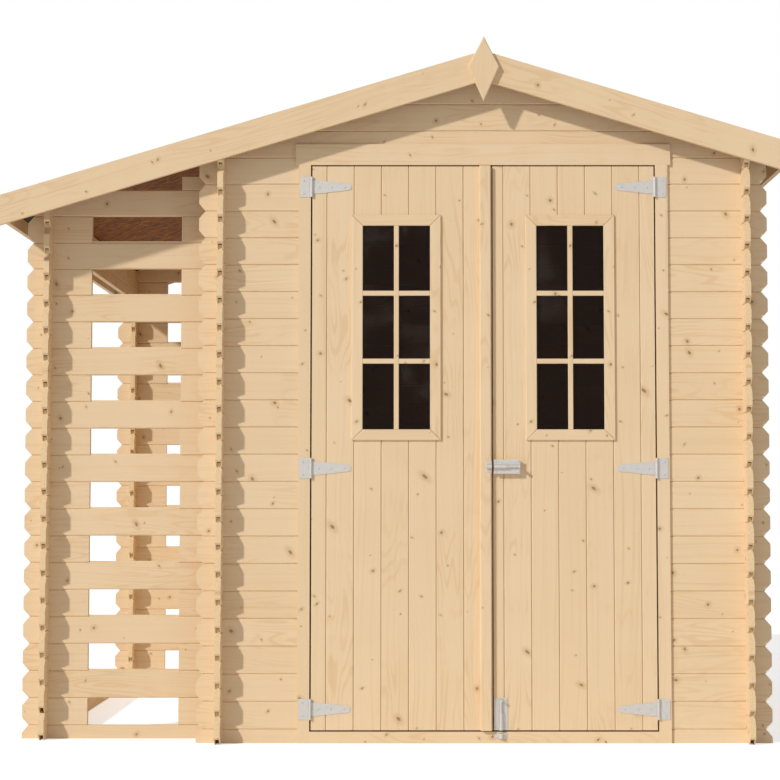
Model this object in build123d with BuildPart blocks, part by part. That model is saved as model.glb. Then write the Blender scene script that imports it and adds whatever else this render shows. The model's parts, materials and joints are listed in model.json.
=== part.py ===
"""A log-cabin style garden shed with glazed double doors, and a slatted log store under the same roof."""

import os
from math import hypot

from build123d import *

# Boards and the way they cross at a corner
course = 88
board_thick = 19
end_reach = 65
end_cut_depth = 21
end_cut_height = 24
notch_height = course / 2
first_joint = course / 2

# Walls
shed_width = 1718
shed_depth = 2080
shed_courses = 22
store_width = 580
store_setback = 110
store_courses = 20

# Log store
block_reach = 148
shed_block_reach = 135
low_rail_length = 1653
top_beam_height = 132

# Roof
roof_slope = 0.302
deck_thick = 12
felt_thick = 3
deck_side_overhang = 106
deck_end_overhang = 67
felt_return = 37
fascia_thick = 16
fascia_height = 97
fascia_above_felt = 14
eaves_trim_thick = 16
eaves_trim_drop = 42
finial_width = 100
finial_height = 211
finial_shoulder = 99
finial_thick = 18
finial_above_fascia = 43
finial_edge = 3
ridge_beam_width = 44
ridge_beam_height = 120
purlin_width = 44
purlin_height = 95
purlin_from_ridge = 430

# Doorway
doorway_width = 1120
frame_proud = 9
frame_web = 16
jamb_width = 40
head_height = 68
head_gap = 2
head_overlap = 10
threshold_height = 37

# Door leaves
leaf_thick = 19
leaf_gap = 5
meeting_gap = 6
meeting_offset = 25
ledge_thick = 19
ledge_height = 90
ledge_inset = 40
ledge_above_threshold = 108
middle_ledge_level = 880
ledge_below_head = 111
cover_strip_width = 37
cover_strip_thick = 18
cover_strip_edge = 3

# Windows
window_offset = 281.5
window_below_head = 189
window_width = 240
window_height = 684
trim_width = 35
trim_lap = 11
trim_thick = 8
trim_edge = 2
glass_thick = 4
glass_clearance = 1

# Hinges
hinge_above_threshold = 71.5
middle_hinge_level = 879
hinge_below_head = 73
hinge_sheet = 2
knuckle_radius = 5
knuckle_clearance = 0.3
knuckle_side_clearance = 0.5
pin_radius = 2.5
pin_clearance = 0.4
hinge_plate_width = 35
hinge_plate_height = 66
strap_length = 130
strap_root = 43
strap_tip = 21
strap_shoulder = 22

# Bolts
bolt_radius = 4
bolt_clearance = 0.5
bolt_sheet = 2
bolt_stand_off = 6
bolt_edge_margin = 1
housing_radius = 7
knob_radius = 4.5
knob_reach = 15
knob_from_end = 5
knob_gap = 3
keeper_radius = 8
keeper_clearance = 1
keeper_width = 16
keeper_span = 38
pad_bolt_level = 884
pad_bolt_travel = 30
pad_plate_length = 85
pad_plate_width = 46
pad_housing_length = 42
packer_margin = 2
foot_bolt_travel = 32
foot_plate_length = 101
foot_plate_width = 43
foot_housing_length = 55
foot_keeper_level = 17

# Places worked out from the sizes above
walls_right = (shed_width + store_width) / 2
store_left = -walls_right
shed_left = store_left + store_width
ridge_x = (shed_left + walls_right) / 2
half_depth = shed_depth / 2
store_half = half_depth - store_setback
side_height = shed_courses * course
store_height = store_courses * course
roof_stretch = hypot(1, roof_slope)
deck_left = store_left - deck_side_overhang
deck_right = walls_right + deck_side_overhang
roof_left = deck_left - felt_thick - eaves_trim_thick
roof_right = deck_right + felt_thick + eaves_trim_thick
roof_half = half_depth + deck_end_overhang
door_face = -half_depth - frame_proud
door_back = door_face + leaf_thick
frame_depth = board_thick + 2 * frame_proud
doorway_height = side_height - head_gap - head_height
wall_cut = doorway_width / 2 + frame_web
wall_cut_height = doorway_height + frame_web + board_thick / 2
hinge_reach = (doorway_width - leaf_gap) / 2
hinge_axis_y = door_face - knuckle_radius - knuckle_clearance
leaf_low = threshold_height + leaf_gap
leaf_high = doorway_height - leaf_gap
leaf_outer = doorway_width / 2 - leaf_gap
window_level = doorway_height - window_below_head - window_height / 2
ledge_levels = (
    threshold_height + ledge_above_threshold, middle_ledge_level, doorway_height - ledge_below_head,
)
hinge_levels = (
    threshold_height + hinge_above_threshold, middle_hinge_level, doorway_height - hinge_below_head,
)
bolt_depth = bolt_sheet + bolt_stand_off
strip_face = door_face - cover_strip_thick


def roof_under(x):
    """Height of the deck's underside."""
    return side_height + roof_slope * (shed_width / 2 - abs(x - ridge_x))


def deck_top(x):
    """Height of the deck's upper face."""
    return roof_under(x) + deck_thick * roof_stretch


def felt_top(x):
    """Height of the felt's upper face."""
    return deck_top(x) + felt_thick * roof_stretch


def end_cut(z, joint):
    """How far a board's end is cut back at one height, with a joint between boards at the height joint."""
    to_joint = abs((z - joint + course / 2) % course - course / 2)
    return end_cut_depth * max(0, 1 - to_joint / end_cut_height)


def end_points(tip, inward, low, high, joint):
    """Points up a stack of board ends, each cut to a blunt point."""
    heights = {low, high}
    for count in range(int(high // course) + 2):
        for corner in (-end_cut_height, 0, end_cut_height):
            z = joint + count * course + corner
            if low < z < high:
                heights.add(z)
    return [(tip + inward * end_cut(z, joint), z) for z in sorted(heights)]


def stack(left, right, low, high, joint, left_pointed=True, right_pointed=True):
    """Outline of boards lying on each other, with pointed or plain ends."""
    start = end_points(left, 1, low, high, joint) if left_pointed else [(left, low), (left, high)]
    finish = end_points(right, -1, low, high, joint) if right_pointed else [(right, low), (right, high)]
    return start + finish[::-1]


def below_roof():
    """Outline of all that lies under the deck."""
    left = deck_left
    right = deck_right
    return [
        (left, 0),
        (left, roof_under(left)),
        (ridge_x, roof_under(ridge_x)),
        (right, roof_under(right)),
        (right, 0),
    ]


def boarding(plane, outlines, notches, under_roof=False):
    """Boards of one wall, notched where the boards of another wall cross them."""
    with BuildPart() as boards:
        with BuildSketch(plane):
            for outline in outlines:
                with BuildLine():
                    Polyline(*outline, close=True)
                make_face()
            if under_roof:
                with BuildLine():
                    Polyline(*below_roof(), close=True)
                make_face(mode=Mode.INTERSECT)
            if notches:
                with Locations(*notches):
                    Rectangle(board_thick, notch_height, mode=Mode.SUBTRACT)
        extrude(amount=board_thick)
    return boards


def notch_centres(places, first, count):
    """Centres of the notches in one wall, at each place along it and each course up it."""
    return [(place, first + step * course) for place in places for step in range(count)]


def facing_front(back):
    """Plane of a wall that runs along X, at its back face. Extrusion goes towards the front."""
    return Plane.XZ.offset(-back)


def half_round(radius):
    """Section of a band that stands on its base and is round at the top."""
    Rectangle(2 * radius, bolt_depth, align=(Align.CENTER, Align.MAX))
    with Locations((0, -bolt_depth)):
        Circle(radius)


def bolt_plate(place, length, width, housing_length):
    """Flat plate with a half-round housing that guides a bolt."""
    with BuildPart() as plate:
        with BuildSketch(place):
            Rectangle(width, bolt_sheet, align=(Align.CENTER, Align.MAX))
        extrude(amount=length)
        with BuildSketch(place):
            half_round(housing_radius)
        extrude(amount=housing_length)
        with BuildSketch(place):
            with Locations((0, -bolt_depth)):
                Circle(bolt_radius + bolt_clearance)
        extrude(amount=length, mode=Mode.SUBTRACT)
    return plate


def sliding_bolt(place, housing_length, travel):
    """Round bolt with a knob that stays clear of the housing when the bolt is shot."""
    knob_at = housing_length + travel + knob_gap + knob_radius
    knob_base = place.from_local_coords((0, -bolt_depth, knob_at))
    with BuildPart() as bar:
        with BuildSketch(place):
            with Locations((0, -bolt_depth)):
                Circle(bolt_radius)
        extrude(amount=knob_at + knob_from_end)
        with BuildSketch(Plane(origin=knob_base, z_dir=(0, -1, 0))):
            Circle(knob_radius)
        extrude(amount=knob_reach)
    return bar


def keeper(place):
    """Loop that takes the bolt's end."""
    with BuildPart() as loop:
        with BuildSketch(place):
            Rectangle(keeper_span, bolt_sheet, align=(Align.CENTER, Align.MAX))
            half_round(keeper_radius)
            with Locations((0, -bolt_depth)):
                Circle(bolt_radius + keeper_clearance, mode=Mode.SUBTRACT)
        extrude(amount=keeper_width)
    return loop


def finish(name, builder):
    """Label a finished piece and write its file."""
    builder.part.label = name
    export_step(builder.part, f"parts/{name}.step")


os.makedirs("parts", exist_ok=True)

# Shed walls that run along X. Their bottom board is a half one, so they stand half a course off the sides.
left_crossing = shed_left + board_thick / 2
right_crossing = walls_right - board_thick / 2
over_roof = roof_under(ridge_x) + course

front_left_outline = stack(
    shed_left - end_reach, ridge_x - wall_cut, 0, over_roof, first_joint, right_pointed=False,
)
front_wall_left = boarding(
    facing_front(-half_depth + board_thick),
    [front_left_outline],
    notch_centres([left_crossing], first_joint, shed_courses),
    under_roof=True,
)
finish("front_wall_left", front_wall_left)

front_right_outline = stack(
    ridge_x + wall_cut, walls_right + end_reach, 0, over_roof, first_joint, left_pointed=False,
)
front_wall_right = boarding(
    facing_front(-half_depth + board_thick),
    [front_right_outline],
    notch_centres([right_crossing], first_joint, shed_courses),
    under_roof=True,
)
finish("front_wall_right", front_wall_right)

front_gable_outline = stack(
    ridge_x - wall_cut, ridge_x + wall_cut, wall_cut_height, over_roof, first_joint,
    left_pointed=False, right_pointed=False,
)
front_gable = boarding(
    facing_front(-half_depth + board_thick), [front_gable_outline], [], under_roof=True,
)
finish("front_gable", front_gable)

rear_wall = boarding(
    facing_front(half_depth),
    [stack(shed_left - end_reach, walls_right + end_reach, 0, over_roof, first_joint)],
    notch_centres([left_crossing, right_crossing], first_joint, shed_courses),
    under_roof=True,
)
finish("rear_wall", rear_wall)

# Shed walls that run along Y, with whole boards from the ground up
shed_crossings = [-half_depth + board_thick / 2, half_depth - board_thick / 2]
for name, outer_face in (("left_wall", shed_left), ("right_wall", walls_right - board_thick)):
    side_wall = boarding(
        Plane.YZ.offset(outer_face),
        [stack(-half_depth - end_reach, half_depth + end_reach, 0, side_height, 0)],
        notch_centres(shed_crossings, 0, shed_courses + 1),
    )
    finish(name, side_wall)

# Log store front and rear: every other course is a whole board, and the courses between are short blocks
store_crossing = store_left + board_thick / 2
store_tip = store_left - end_reach
store_notches = notch_centres([store_crossing], first_joint, store_courses + 1)

board_outlines = [stack(store_tip, shed_left, 0, first_joint, first_joint, right_pointed=False)]
block_outlines = []
for step in range(store_courses + 1):
    low = first_joint + step * course
    high = low + course
    if step % 2:
        if step < store_courses:
            store_board = stack(store_tip, shed_left, low, high, first_joint, right_pointed=False)
            board_outlines.append(store_board)
    else:
        if step < store_courses:
            left_block = stack(
                store_tip, store_left + block_reach, low, high, first_joint, right_pointed=False,
            )
            block_outlines.append(left_block)
        else:
            high = over_roof
        right_block = stack(
            shed_left - shed_block_reach, shed_left, low, high, first_joint,
            left_pointed=False, right_pointed=False,
        )
        block_outlines.append(right_block)

for side, back in (("front", -store_half + board_thick), ("rear", store_half)):
    store_boards = boarding(facing_front(back), board_outlines, store_notches, under_roof=True)
    finish(f"store_{side}_boards", store_boards)
    store_blocks = boarding(facing_front(back), block_outlines, store_notches, under_roof=True)
    finish(f"store_{side}_blocks", store_blocks)

# Log store side, open but for a low rail, a beam under the eaves and the short corner boards
store_side = Plane.YZ.offset(store_left)
beam_low = store_height - top_beam_height
front_tip = -store_half - end_reach
rear_tip = store_half + end_reach
front_corner_inner = -store_half + board_thick + end_reach
rear_corner_inner = store_half - board_thick - end_reach
store_crossings = [-store_half + board_thick / 2, store_half - board_thick / 2]
side_notches = notch_centres(store_crossings, 0, store_courses + 1)

front_corner = stack(front_tip, front_corner_inner, course, beam_low, 0)
front_corner_boards = boarding(store_side, [front_corner], side_notches)
finish("store_front_corner_boards", front_corner_boards)

rear_corner = stack(rear_corner_inner, rear_tip, 0, beam_low, 0)
rear_corner_boards = boarding(store_side, [rear_corner], side_notches)
finish("store_rear_corner_boards", rear_corner_boards)

low_rail = boarding(store_side, [stack(front_tip, front_tip + low_rail_length, 0, course, 0)], side_notches)
finish("store_low_rail", low_rail)

top_beam = boarding(store_side, [stack(front_tip, rear_tip, beam_low, store_height, 0)], side_notches)
finish("store_top_beam", top_beam)

# Roof structure
with BuildPart() as ridge_beam:
    with BuildSketch(Plane.XZ):
        with BuildLine():
            beam_side = ridge_beam_width / 2
            beam_bottom = roof_under(ridge_x) - ridge_beam_height
            Polyline(
                (ridge_x - beam_side, beam_bottom),
                (ridge_x - beam_side, roof_under(ridge_x - beam_side)),
                (ridge_x, roof_under(ridge_x)),
                (ridge_x + beam_side, roof_under(ridge_x + beam_side)),
                (ridge_x + beam_side, beam_bottom),
                close=True,
            )
        make_face()
    extrude(amount=half_depth - board_thick, both=True)
finish("ridge_beam", ridge_beam)

with BuildPart() as purlins:
    with BuildSketch(Plane.XZ):
        for centre in (ridge_x - purlin_from_ridge, ridge_x + purlin_from_ridge):
            with BuildLine():
                left = centre - purlin_width / 2
                right = centre + purlin_width / 2
                bottom = roof_under(centre) - purlin_height
                Polyline(
                    (left, bottom),
                    (left, roof_under(left)),
                    (right, roof_under(right)),
                    (right, bottom),
                    close=True,
                )
            make_face()
    extrude(amount=half_depth - board_thick, both=True)
finish("purlins", purlins)

# Roof deck and felt, one piece to each slope. The felt turns down over the eaves and back under them.
for side, deck_edge, outward in (("left", deck_left, -1), ("right", deck_right, 1)):
    with BuildPart() as deck:
        with BuildSketch(Plane.XZ):
            with BuildLine():
                Polyline(
                    (deck_edge, roof_under(deck_edge)),
                    (ridge_x, roof_under(ridge_x)),
                    (ridge_x, deck_top(ridge_x)),
                    (deck_edge, deck_top(deck_edge)),
                    close=True,
                )
            make_face()
        extrude(amount=roof_half, both=True)
    finish(f"roof_deck_{side}", deck)

    felt_edge = deck_edge + outward * felt_thick
    return_edge = deck_edge - outward * felt_return
    felt_below = felt_thick * roof_stretch
    with BuildPart() as felt:
        with BuildSketch(Plane.XZ):
            with BuildLine():
                Polyline(
                    (ridge_x, deck_top(ridge_x)),
                    (ridge_x, felt_top(ridge_x)),
                    (felt_edge, felt_top(felt_edge)),
                    (felt_edge, roof_under(felt_edge) - felt_below),
                    (return_edge, roof_under(return_edge) - felt_below),
                    (return_edge, roof_under(return_edge)),
                    (deck_edge, roof_under(deck_edge)),
                    (deck_edge, deck_top(deck_edge)),
                    close=True,
                )
            make_face()
        extrude(amount=roof_half, both=True)
    finish(f"roof_felt_{side}", felt)

with BuildPart() as eaves_trims:
    with BuildSketch(Plane.XZ):
        eaves = ((deck_left - felt_thick, roof_left), (deck_right + felt_thick, roof_right))
        for felt_edge, roof_end in eaves:
            low = roof_under(roof_end) - eaves_trim_drop
            with Locations(((felt_edge + roof_end) / 2, low)):
                Rectangle(eaves_trim_thick, felt_top(roof_end) - low, align=(Align.CENTER, Align.MIN))
    extrude(amount=roof_half, both=True)
finish("eaves_trims", eaves_trims)

# Fascias and the diamond boards that cover their joint, the same at both gables
for side, back in (("front", -roof_half), ("rear", roof_half + fascia_thick)):
    for hand, roof_end in (("left", roof_left), ("right", roof_right)):
        with BuildPart() as fascia:
            with BuildSketch(facing_front(back)):
                with BuildLine():
                    Polyline(
                        (roof_end, felt_top(roof_end) + fascia_above_felt),
                        (ridge_x, felt_top(ridge_x) + fascia_above_felt),
                        (ridge_x, felt_top(ridge_x) + fascia_above_felt - fascia_height),
                        (roof_end, felt_top(roof_end) + fascia_above_felt - fascia_height),
                        close=True,
                    )
                make_face()
            extrude(amount=fascia_thick)
        finish(f"{side}_fascia_{hand}", fascia)

    finial_back = -roof_half - fascia_thick if side == "front" else back + finial_thick
    finial_top = felt_top(ridge_x) + fascia_above_felt + finial_above_fascia
    finial_widest = finial_top - finial_shoulder
    with BuildPart() as finial:
        with BuildSketch(facing_front(finial_back)):
            with BuildLine():
                Polyline(
                    (ridge_x, finial_top),
                    (ridge_x + finial_width / 2, finial_widest),
                    (ridge_x, finial_top - finial_height),
                    (ridge_x - finial_width / 2, finial_widest),
                    close=True,
                )
            make_face()
        extrude(amount=finial_thick)
        shown_face = Axis.Y if side == "rear" else -Axis.Y
        chamfer(finial.faces().sort_by(shown_face)[-1].edges(), finial_edge)
    finish(f"{side}_finial", finial)

# Door frame. Jambs and head grip the cut edges of the wall between two flanges.
frame_back = -half_depth + board_thick + frame_proud
flange_faces = (-half_depth, frame_back)

with BuildPart() as door_jambs:
    for outward in (-1, 1):
        inner = ridge_x + outward * doorway_width / 2
        with BuildSketch(facing_front(frame_back)):
            with Locations((inner + outward * frame_web / 2, 0)):
                Rectangle(frame_web, doorway_height, align=(Align.CENTER, Align.MIN))
        extrude(amount=frame_depth)
        for flange_face in flange_faces:
            with BuildSketch(facing_front(flange_face)):
                with Locations((inner + outward * jamb_width / 2, 0)):
                    Rectangle(jamb_width, doorway_height, align=(Align.CENTER, Align.MIN))
            extrude(amount=frame_proud)
finish("door_jambs", door_jambs)

with BuildPart() as door_head:
    with BuildSketch(facing_front(frame_back)):
        with Locations((ridge_x, doorway_height)):
            Rectangle(2 * wall_cut, wall_cut_height - doorway_height, align=(Align.CENTER, Align.MIN))
    extrude(amount=frame_depth)
    for flange_face in flange_faces:
        with BuildSketch(facing_front(flange_face)):
            with Locations((ridge_x, doorway_height)):
                Rectangle(
                    doorway_width + 2 * (jamb_width + head_overlap), head_height,
                    align=(Align.CENTER, Align.MIN),
                )
        extrude(amount=frame_proud)
finish("door_head", door_head)

with BuildPart() as door_threshold:
    with BuildSketch(facing_front(frame_back)):
        with Locations((ridge_x, 0)):
            Rectangle(doorway_width, threshold_height, align=(Align.CENTER, Align.MIN))
    extrude(amount=frame_depth)
finish("door_threshold", door_threshold)

# Door leaves. The left leaf reaches to the right edge of the cover strip, and each leaf swings by itself.
meeting_x = ridge_x + meeting_offset
leaf_spans = {
    "left": (ridge_x - leaf_outer, meeting_x),
    "right": (meeting_x + meeting_gap, ridge_x + leaf_outer),
}
for side, outward in (("left", -1), ("right", 1)):
    leaf_start, leaf_end = leaf_spans[side]
    window_x = ridge_x + outward * window_offset
    hinge_x = ridge_x + outward * hinge_reach

    with BuildPart() as leaf_boards:
        with BuildSketch(facing_front(door_back)):
            with Locations(((leaf_start + leaf_end) / 2, (leaf_low + leaf_high) / 2)):
                Rectangle(leaf_end - leaf_start, leaf_high - leaf_low)
            with Locations((window_x, window_level)):
                Rectangle(window_width, window_height, mode=Mode.SUBTRACT)
        extrude(amount=leaf_thick)
    finish(f"{side}_leaf_boards", leaf_boards)

    with BuildPart() as leaf_ledges:
        with BuildSketch(facing_front(door_back + ledge_thick)):
            with Locations(*[((leaf_start + leaf_end) / 2, level) for level in ledge_levels]):
                Rectangle(leaf_end - leaf_start - 2 * ledge_inset, ledge_height)
        extrude(amount=ledge_thick)
    finish(f"{side}_leaf_ledges", leaf_ledges)

    with BuildPart() as window_trim:
        with BuildSketch(facing_front(door_face)):
            with Locations((window_x, window_level)):
                Rectangle(
                    window_width + 2 * (trim_width - trim_lap),
                    window_height + 2 * (trim_width - trim_lap),
                )
                Rectangle(window_width - 2 * trim_lap, window_height - 2 * trim_lap, mode=Mode.SUBTRACT)
        extrude(amount=trim_thick)
        chamfer(window_trim.faces().sort_by(Axis.Y)[0].edges(), trim_edge)
    finish(f"{side}_window_trim", window_trim)

    with BuildPart() as window_glass:
        with BuildSketch(facing_front(door_face + glass_thick)):
            with Locations((window_x, window_level)):
                Rectangle(window_width - 2 * glass_clearance, window_height - 2 * glass_clearance)
        extrude(amount=glass_thick)
    finish(f"{side}_window_glass", window_glass)

    # Hinge plates on the jamb carry the pins, and the straps on the leaf turn on them
    with BuildPart() as hinge_plates:
        for level in hinge_levels:
            knuckle_edge = hinge_x + outward * (knuckle_radius + knuckle_side_clearance)
            plate_edge = hinge_x + outward * (hinge_plate_width + leaf_gap / 2)
            with BuildSketch(facing_front(door_face)):
                with Locations(((hinge_x + plate_edge) / 2, level)):
                    Rectangle(abs(plate_edge - hinge_x), hinge_plate_height)
                with Locations(((hinge_x + knuckle_edge) / 2, level)):
                    Rectangle(
                        abs(knuckle_edge - hinge_x), strap_root + 2 * knuckle_clearance, mode=Mode.SUBTRACT,
                    )
            extrude(amount=hinge_sheet)
            knuckle_height = (hinge_plate_height - strap_root) / 2 - knuckle_clearance
            plate_low = level - hinge_plate_height / 2
            for knuckle_low in (plate_low, plate_low + hinge_plate_height - knuckle_height):
                with BuildSketch(Plane.XY.offset(knuckle_low)):
                    with Locations((hinge_x, hinge_axis_y)):
                        Circle(knuckle_radius)
                extrude(amount=knuckle_height)
            with BuildSketch(Plane.XY.offset(plate_low)):
                with Locations((hinge_x, hinge_axis_y)):
                    Circle(pin_radius)
            extrude(amount=hinge_plate_height)
    finish(f"{side}_hinge_plates", hinge_plates)

    with BuildPart() as hinge_straps:
        for level in hinge_levels:
            shoulder = hinge_x - outward * strap_shoulder
            tip_start = hinge_x - outward * (strap_length - strap_tip / 2)
            tip_end = hinge_x - outward * strap_length
            with BuildSketch(facing_front(door_face)):
                with BuildLine():
                    Polyline(
                        (tip_start, level + strap_tip / 2),
                        (shoulder, level + strap_root / 2),
                        (hinge_x, level + strap_root / 2),
                        (hinge_x, level - strap_root / 2),
                        (shoulder, level - strap_root / 2),
                        (tip_start, level - strap_tip / 2),
                    )
                    ThreePointArc(
                        (tip_start, level - strap_tip / 2),
                        (tip_end, level),
                        (tip_start, level + strap_tip / 2),
                    )
                make_face()
            extrude(amount=hinge_sheet)
            with BuildSketch(Plane.XY.offset(level - strap_root / 2)):
                with Locations((hinge_x, hinge_axis_y)):
                    Circle(knuckle_radius)
            extrude(amount=strap_root)
            with BuildSketch(Plane.XY.offset(level - strap_root / 2)):
                with Locations((hinge_x, hinge_axis_y)):
                    Circle(pin_radius + pin_clearance)
            extrude(amount=strap_root, mode=Mode.SUBTRACT)
    finish(f"{side}_hinge_straps", hinge_straps)

# Cover strip on the left leaf, over the joint between the leaves
with BuildPart() as cover_strip:
    with BuildSketch(facing_front(door_face)):
        with Locations((meeting_x - cover_strip_width / 2, (leaf_low + leaf_high) / 2)):
            Rectangle(cover_strip_width, leaf_high - leaf_low)
    extrude(amount=cover_strip_thick)
    chamfer(cover_strip.faces().sort_by(Axis.Y)[0].edges().filter_by(Axis.Z), cover_strip_edge)
finish("cover_strip", cover_strip)

# Bolts, drawn back at rest. The upper one stands on a packer as thick as the cover strip.
bolt_start = meeting_x + meeting_gap + bolt_edge_margin
foot_bolt_x = bolt_start + foot_plate_width / 2
foot_plate_low = leaf_low + bolt_edge_margin
pad_bolt_place = Plane(origin=(bolt_start, strip_face, pad_bolt_level), x_dir=(0, 0, -1), z_dir=(1, 0, 0))
foot_bolt_place = Plane(origin=(foot_bolt_x, door_face, foot_plate_low), x_dir=(1, 0, 0), z_dir=(0, 0, 1))

with BuildPart() as pad_bolt_packer:
    with BuildSketch(facing_front(door_face)):
        with Locations((bolt_start + pad_plate_length / 2, pad_bolt_level)):
            Rectangle(pad_plate_length - 2 * packer_margin, pad_plate_width - 2 * packer_margin)
    extrude(amount=cover_strip_thick)
finish("pad_bolt_packer", pad_bolt_packer)

pad_bolt_plate = bolt_plate(pad_bolt_place, pad_plate_length, pad_plate_width, pad_housing_length)
finish("pad_bolt_plate", pad_bolt_plate)

pad_bolt = sliding_bolt(pad_bolt_place, pad_housing_length, pad_bolt_travel)
finish("pad_bolt", pad_bolt)

pad_bolt_keeper = keeper(pad_bolt_place.offset(meeting_x - keeper_width - bolt_start))
finish("pad_bolt_keeper", pad_bolt_keeper)

foot_bolt_plate = bolt_plate(foot_bolt_place, foot_plate_length, foot_plate_width, foot_housing_length)
finish("foot_bolt_plate", foot_bolt_plate)

foot_bolt = sliding_bolt(foot_bolt_place, foot_housing_length, foot_bolt_travel)
finish("foot_bolt", foot_bolt)

foot_bolt_keeper = keeper(foot_bolt_place.offset(foot_keeper_level - foot_plate_low))
finish("foot_bolt_keeper", foot_bolt_keeper)
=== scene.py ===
"""Dresses the garden shed and its log store: boards, roof, doors, windows and ironwork.

Each operator models one group of pieces in the same place, in metres, hides the nodes that it
stands for and hangs it on the body that it rides on. The front looks along -Y, and Z is up.
"""

import json
import math

import bmesh
import bpy
from mathutils import Matrix, Vector

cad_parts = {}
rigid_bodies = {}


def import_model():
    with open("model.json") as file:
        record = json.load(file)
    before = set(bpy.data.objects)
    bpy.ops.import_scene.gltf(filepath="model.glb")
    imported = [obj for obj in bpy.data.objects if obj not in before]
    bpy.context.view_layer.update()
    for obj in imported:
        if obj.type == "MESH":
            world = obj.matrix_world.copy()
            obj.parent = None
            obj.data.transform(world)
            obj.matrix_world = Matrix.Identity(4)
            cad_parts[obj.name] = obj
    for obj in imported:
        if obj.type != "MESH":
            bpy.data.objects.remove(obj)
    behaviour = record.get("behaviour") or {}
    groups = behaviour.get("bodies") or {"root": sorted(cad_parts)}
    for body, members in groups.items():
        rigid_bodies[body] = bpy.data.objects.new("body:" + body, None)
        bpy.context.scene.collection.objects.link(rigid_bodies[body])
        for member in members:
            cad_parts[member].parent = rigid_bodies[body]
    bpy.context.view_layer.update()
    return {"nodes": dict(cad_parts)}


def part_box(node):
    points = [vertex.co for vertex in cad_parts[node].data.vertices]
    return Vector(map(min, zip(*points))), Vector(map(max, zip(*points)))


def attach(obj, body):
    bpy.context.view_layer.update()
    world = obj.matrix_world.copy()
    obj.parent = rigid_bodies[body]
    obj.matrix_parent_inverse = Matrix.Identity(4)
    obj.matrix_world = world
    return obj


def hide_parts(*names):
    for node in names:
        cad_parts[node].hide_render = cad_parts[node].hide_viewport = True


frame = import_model()

bl_info = {
    "name": "Garden Shed with Log Store",
    "version": (1, 0, 0),
    "blender": (4, 5, 0),
    "location": "View3D > Sidebar > Shed",
    "description": "Boards, roof, doors, windows and ironwork of a shed with a log store",
    "category": "Add Mesh",
}

ALONG_X = 0
ALONG_Y = 1
ALONG_Z = 2
SLIP = 1e-5  # two lengths closer than this are the same
ROUNDING = 0.01  # part of a board that isn't counted
SQUARE = 0.99  # cosine above which a direction counts as lying along an axis
MIX_INPUTS = (0, 6, 7)  # sockets of a mix node's share and its two colours
MIX_COLOUR = 2

# Screws: from a hinge plate's edge, either side of its middle, along a strap, and from the edges
# of a bolt plate, in sheet iron of this thickness
PLATE_SCREW_INSET = 0.012
PLATE_SCREW_SPREAD = 0.021
STRAP_SCREW_SHARES = (0.22, 0.52, 0.84)
BOLT_SCREW_INSET = 0.006
SHEET_THICK = 0.002

# Clout nails: from the ridge strip's edge, from the eaves, and from the roof's front and rear
STRIP_NAIL_INSET = 0.02
EAVES_NAIL_INSET = 0.045
END_NAIL_INSET = 0.03

RIDGE_OVERRUN = 0.002  # past the ridge, before each half is sawn
PIECE_GAP = 0.1  # least height between two hinges
WEDGE_COURSE = 21  # course of the store's end walls that the roof cuts to a wedge
WINDOW_PLAY = 0.001  # between the window glass and the door boards
TRIM_EDGE = 0.0016
BAR_EDGE = 0.0012
CROSS_BAR_SET_BACK = 0.001

# Camera and light that give the photo's view, with angles in degrees
CAMERA_PLACE = (0.06635, -6.900, 0.7822)
CAMERA_TILT = 3.418
CAMERA_LENS = 83.69
CAMERA_SHIFT = -0.0311
SUN_POWER = 2.22
SUN_WIDTH = 2.5
SUN_COLOUR = (1.0, 0.98, 0.94)
SUN_HEADING = (1.05, 1.0, -0.78)
SKY_POWER = 0.38
FLOOR_GLOW = 0.5
WHITE = (1.0, 1.0, 1.0, 1.0)


def shade(code):
    """A scene colour from a written one, such as EBCBA3."""
    parts = [int(code[i:i + 2], 16) / 255 for i in (0, 2, 4)]
    return tuple(
        ((part + 0.055) / 1.055) ** 2.4 if part > 0.04045 else part / 12.92 for part in parts
    )


def length(name, text, size):
    """A size in metres that a user can change."""
    return bpy.props.FloatProperty(
        name=name, description=text, default=size, min=0, precision=4, unit="LENGTH",
    )


def colour(name, text, code):
    """A colour that a user can change."""
    return bpy.props.FloatVectorProperty(
        name=name, description=text, default=shade(code), size=3, min=0, max=1, subtype="COLOR",
    )


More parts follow.
